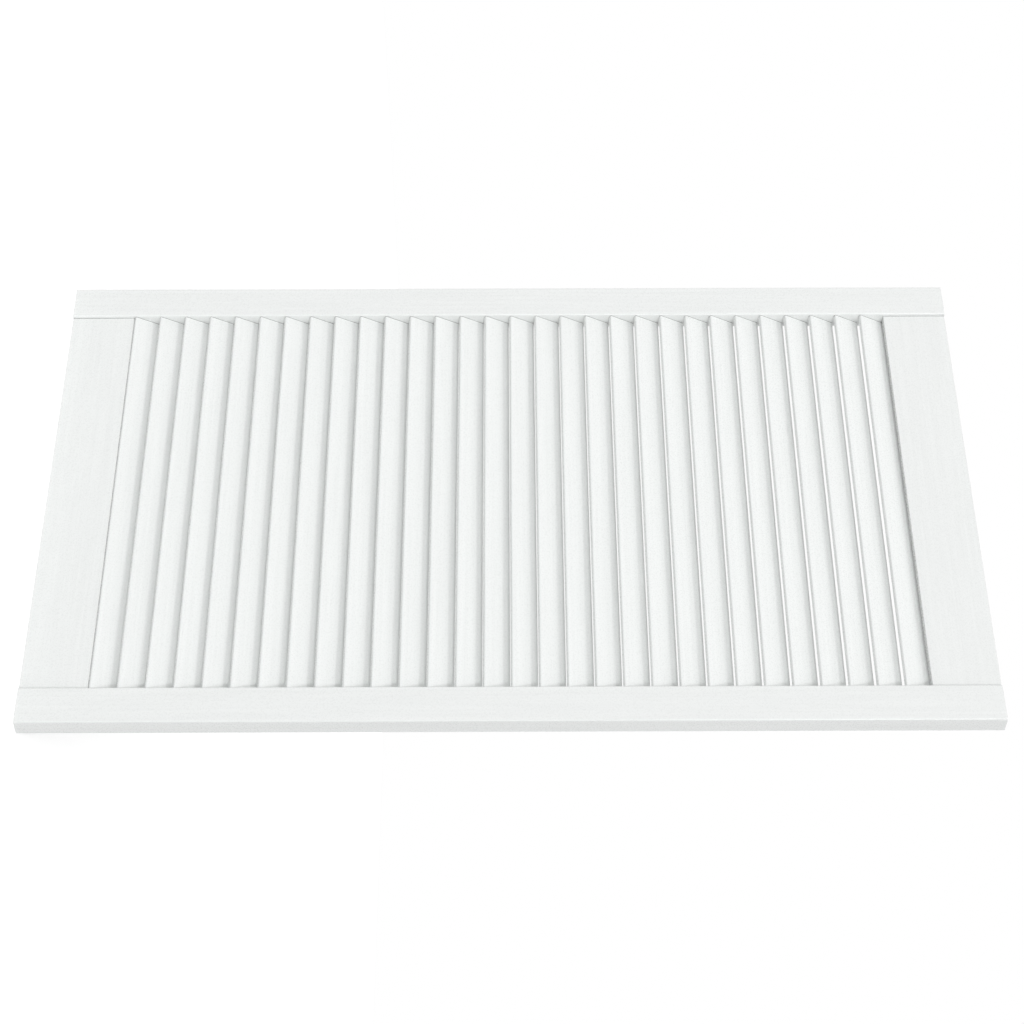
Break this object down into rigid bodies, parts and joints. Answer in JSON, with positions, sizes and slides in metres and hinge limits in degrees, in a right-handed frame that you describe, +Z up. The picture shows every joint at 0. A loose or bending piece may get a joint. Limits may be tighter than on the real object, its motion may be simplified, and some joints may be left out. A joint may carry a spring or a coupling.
{
  "type": "louvred door",
  "caption": "Upright louvred cupboard door leaf in white-painted wood: round-edged stiles, set-back rails and fixed slanted slats that let air through and block the view.",
  "frame": {"origin": "foot of the hinge edge: on the outer edge face of the hinge stile, at the door's bottom end and mid-thickness", "axes": "+X across the door from the hinge edge to the latch edge, +Y from the front face to the back face, +Z up the door"},
  "size_m": [0.594, 0.021, 0.993],
  "materials": {
    "stile_paint": "satin white paint on pine, grain upright",
    "rail_paint": "satin white paint on pine, grain across",
    "slat_paint": "satin white paint on pine, grain across"
  },
  "bodies": {
    "root": {"hinge_stile": "stile_paint", "latch_stile": "stile_paint", "bottom_rail": "rail_paint", "top_rail": "rail_paint", "slat_01": "slat_paint", "slat_02": "slat_paint", "slat_03": "slat_paint", "slat_04": "slat_paint", "slat_05": "slat_paint", "slat_06": "slat_paint", "slat_07": "slat_paint", "slat_08": "slat_paint", "slat_09": "slat_paint", "slat_10": "slat_paint", "slat_11": "slat_paint", "slat_12": "slat_paint", "slat_13": "slat_paint", "slat_14": "slat_paint", "slat_15": "slat_paint", "slat_16": "slat_paint", "slat_17": "slat_paint", "slat_18": "slat_paint", "slat_19": "slat_paint", "slat_20": "slat_paint", "slat_21": "slat_paint", "slat_22": "slat_paint", "slat_23": "slat_paint", "slat_24": "slat_paint", "slat_25": "slat_paint", "slat_26": "slat_paint", "slat_27": "slat_paint", "slat_28": "slat_paint", "slat_29": "slat_paint", "slat_30": "slat_paint"}
  },
  "joints": []
}
